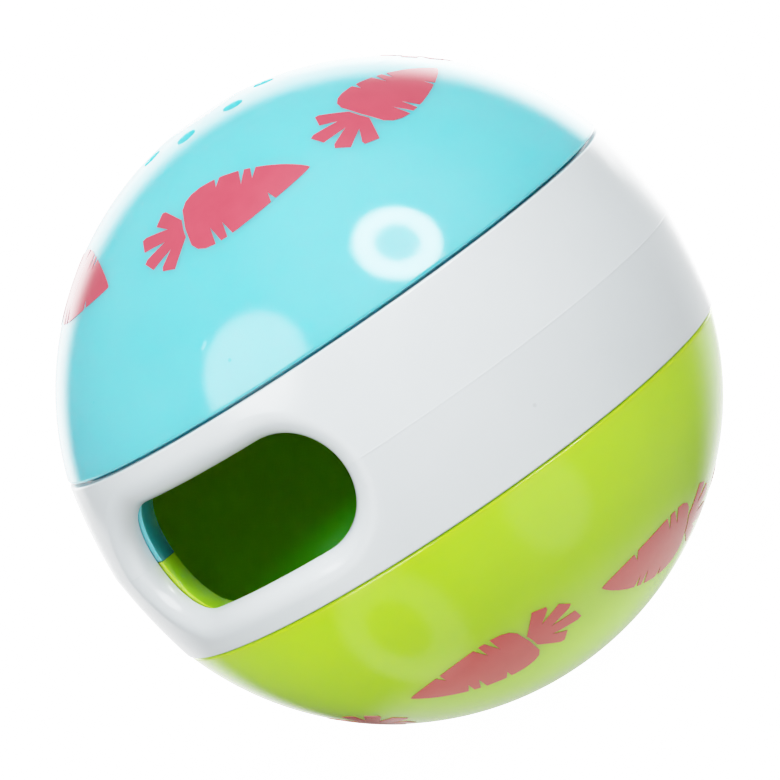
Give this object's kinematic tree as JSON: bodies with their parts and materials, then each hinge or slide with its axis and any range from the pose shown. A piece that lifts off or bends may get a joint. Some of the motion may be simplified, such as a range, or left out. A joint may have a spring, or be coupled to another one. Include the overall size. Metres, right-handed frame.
{
  "type": "treat dispensing ball",
  "caption": "Hollow ball of two half shells that plug together inside a turning ring, whose long opening lets treats fall out as the ball rolls.",
  "frame": {"origin": "middle of the flat at the lower pole, on which the ball stands", "axes": "+Z along the ball's axis to the upper shell's pole; the shells' cut-out for the treats faces -Y"},
  "size_m": [0.0746, 0.0733, 0.0744],
  "materials": {
    "cyan_plastic": "gloss, slightly translucent polypropylene",
    "green_plastic": "gloss, slightly translucent polypropylene",
    "white_plastic": "gloss, opaque polypropylene",
    "pink_ink_on_cyan": "pad-printed ink film",
    "pink_ink_on_green": "pad-printed ink film"
  },
  "bodies": {
    "lower_half": {"lower_shell": "green_plastic", "lower_prints": "pink_ink_on_green"},
    "upper_half": {"upper_shell": "cyan_plastic", "upper_prints": "pink_ink_on_cyan"},
    "ring": {"opening_ring": "white_plastic"}
  },
  "joints": [
    {"name": "ring_turn", "type": "hinge", "parent": "lower_half", "child": "ring", "pos_m": [0, 0, 0.03722], "axis": [0, 0, 1], "continuous": true},
    {"name": "upper_lift_off", "type": "slide", "parent": "lower_half", "child": "upper_half", "axis": [0, 0, 1], "range_m": [0, 0.04]}
  ]
}
